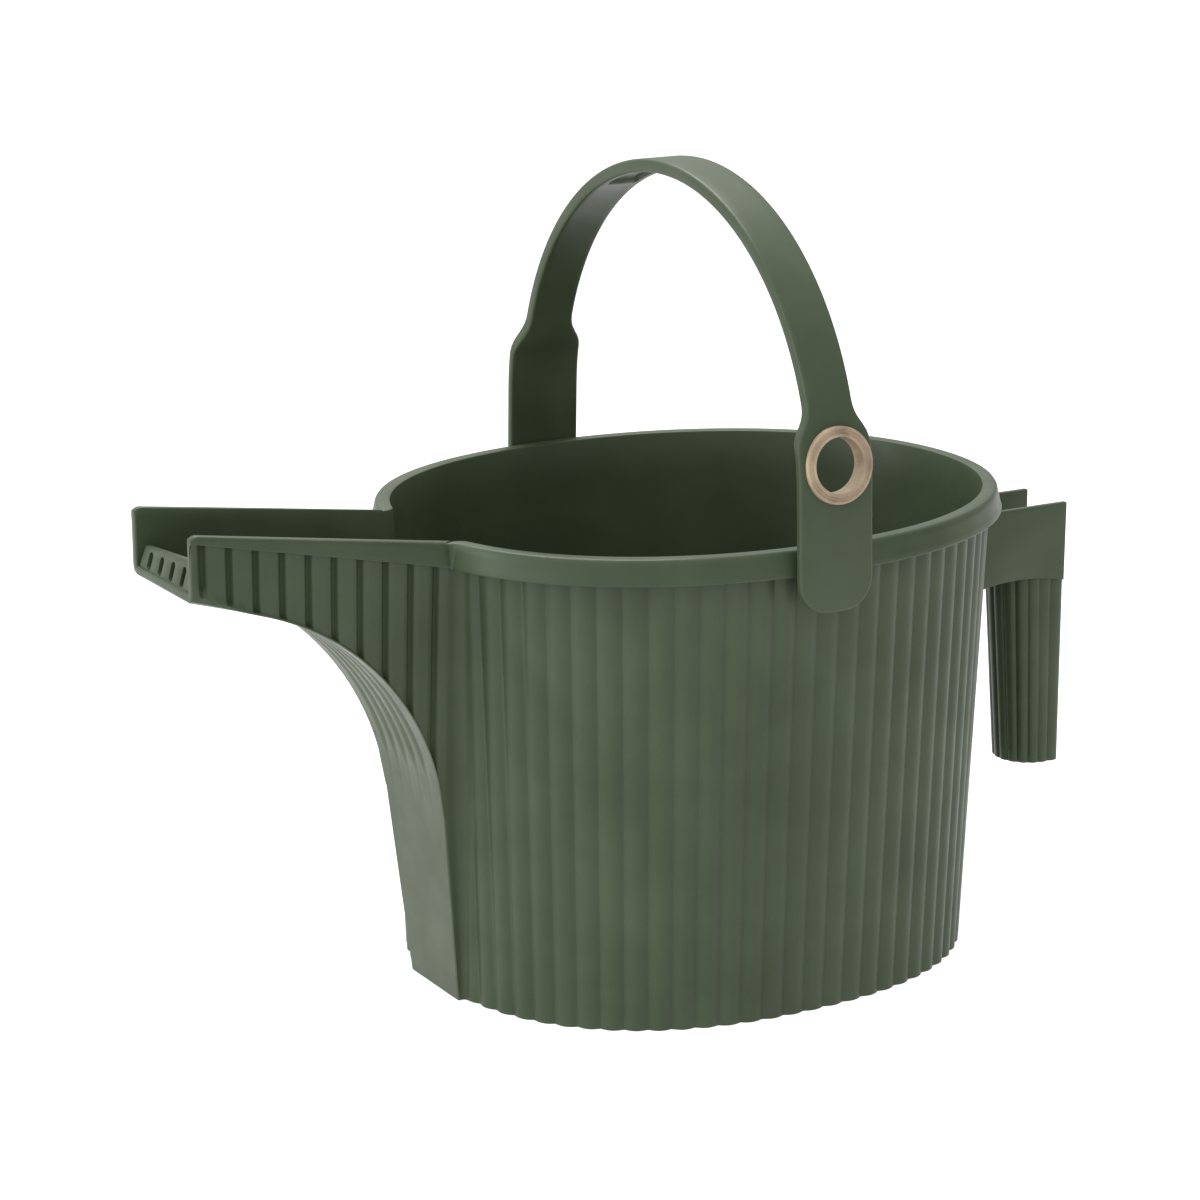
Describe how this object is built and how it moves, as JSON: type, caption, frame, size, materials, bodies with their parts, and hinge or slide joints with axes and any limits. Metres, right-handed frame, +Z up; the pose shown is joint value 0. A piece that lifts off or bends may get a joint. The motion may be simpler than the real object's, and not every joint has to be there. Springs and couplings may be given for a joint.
{
  "type": "watering can",
  "caption": "Oval fluted plastic watering can with an open spout trough, a slotted strainer, a rear grip and a swinging strap bail with a hanging ring.",
  "frame": {"origin": "middle of the vessel's flat base, under the middle of the rim oval", "axes": "+Z up, -X towards the spout, +X towards the rear grip, Y along the bail's pivot line"},
  "size_m": [0.4526, 0.2555, 0.3572],
  "materials": {
    "green_plastic": "satin olive green polypropylene",
    "beige_plastic": "satin beige plastic, faintly marbled"
  },
  "bodies": {
    "vessel": {"vessel_shell": "green_plastic", "rim_band": "green_plastic", "spout_trough": "green_plastic", "spout_strainer": "green_plastic", "rear_grip": "green_plastic"},
    "bail": {"bail_handle": "green_plastic", "ring_front": "beige_plastic", "ring_back": "beige_plastic"}
  },
  "joints": [
    {"name": "bail_swing", "type": "hinge", "parent": "vessel", "child": "bail", "pos_m": [-0.0065, 0, 0.2], "axis": [0, 1, 0], "range_deg": [-80, 92]}
  ]
}
